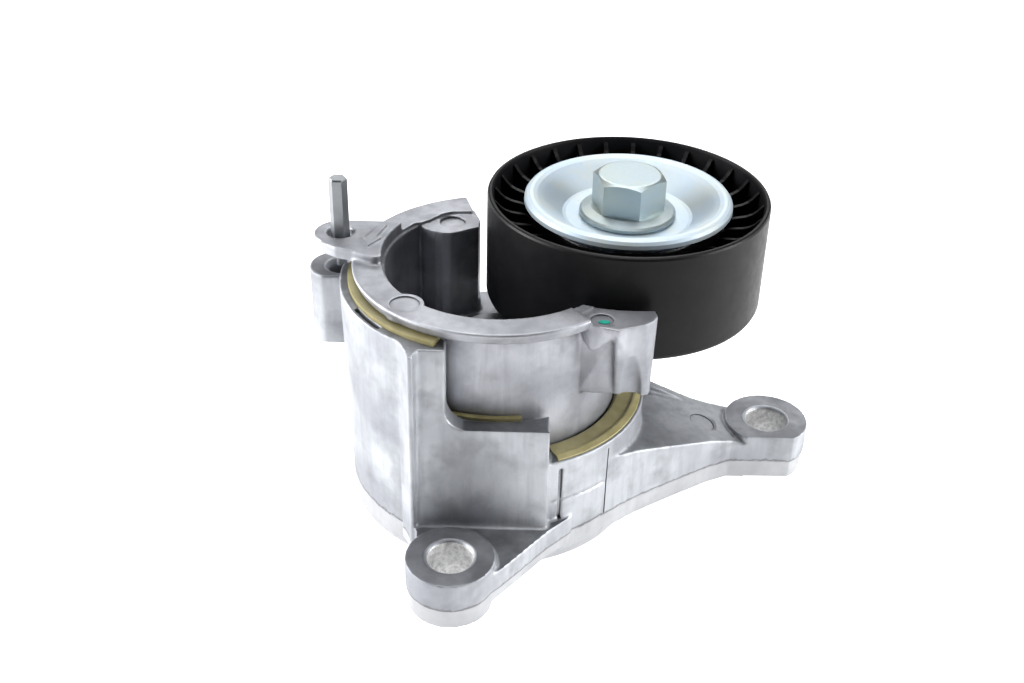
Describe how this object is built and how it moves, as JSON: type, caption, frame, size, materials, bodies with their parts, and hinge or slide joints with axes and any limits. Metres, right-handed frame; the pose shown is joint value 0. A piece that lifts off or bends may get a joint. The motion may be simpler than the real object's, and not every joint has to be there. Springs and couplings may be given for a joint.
{
  "type": "belt tensioner",
  "caption": "Spring-loaded belt tensioner with a smooth idler pulley on a swinging arm and two bolt lugs.",
  "frame": {"origin": "pivot axis, in the plane of the two lug mounting faces", "axes": "+Z along the pivot axis from the mounting face towards the pulley; +X roughly from the pivot towards the side lug; +Y away from the front lug"},
  "size_m": [0.1298, 0.1121, 0.0818],
  "materials": {
    "cast_base": "as-cast satin",
    "cast_arm": "as-cast satin",
    "nylon": "moulded matt",
    "bush_liner": "matt",
    "steel": "machined",
    "spring_steel": "oil-hardened",
    "bearing_steel": "ground",
    "cage_nylon": "moulded",
    "zinc": "zinc-plated satin",
    "pulley_black": "glass-filled, moulded",
    "seal_rubber": "matt",
    "paint": "paint dab"
  },
  "bodies": {
    "base": {"base_housing": "cast_base", "damping_liner": "nylon", "flanged_friction_bush": "nylon", "pivot_shaft": "steel", "shaft_retaining_plate": "steel", "lower_thrust_washer": "nylon", "torsion_spring": "spring_steel"},
    "arm": {"tensioner_arm": "cast_arm", "lower_pivot_bush": "bush_liner", "upper_pivot_bush": "bush_liner", "upper_thrust_washer": "nylon", "paint_mark": "paint", "rear_dust_cover": "zinc", "bearing_spacer": "steel", "bearing_inner_ring": "bearing_steel", "front_dust_cover": "zinc", "pulley_bolt": "zinc"},
    "locking_pin": {"locking_pin": "steel"},
    "pulley": {"pulley_wheel": "pulley_black", "bearing_outer_ring": "bearing_steel", "lower_bearing_seal": "seal_rubber", "upper_bearing_seal": "seal_rubber"},
    "ball_set": {"bearing_cage": "cage_nylon", "bearing_balls": "bearing_steel"}
  },
  "joints": [
    {"name": "arm_swing", "type": "hinge", "parent": "base", "child": "arm", "pos_m": [0, 0, 0.028], "axis": [0, 0, 1], "range_deg": [-56, 4], "stiffness_Nm_per_rad": 5.7, "springref_deg": -85.94},
    {"name": "pulley_spin", "type": "hinge", "parent": "arm", "child": "pulley", "pos_m": [0.03181, 0.01621, 0.0612], "axis": [0, 0, 1], "continuous": true},
    {"name": "ball_set_spin", "type": "hinge", "parent": "arm", "child": "ball_set", "pos_m": [0.03181, 0.01621, 0.0612], "axis": [0, 0, 1], "continuous": true},
    {"name": "locking_pin_pull", "type": "slide", "parent": "arm", "child": "locking_pin", "axis": [0, 0, 1], "range_m": [0, 0.025]}
  ],
  "couplings": [
    {"joint": "ball_set_spin", "follows": "pulley_spin", "ratio": 0.6184}
  ]
}
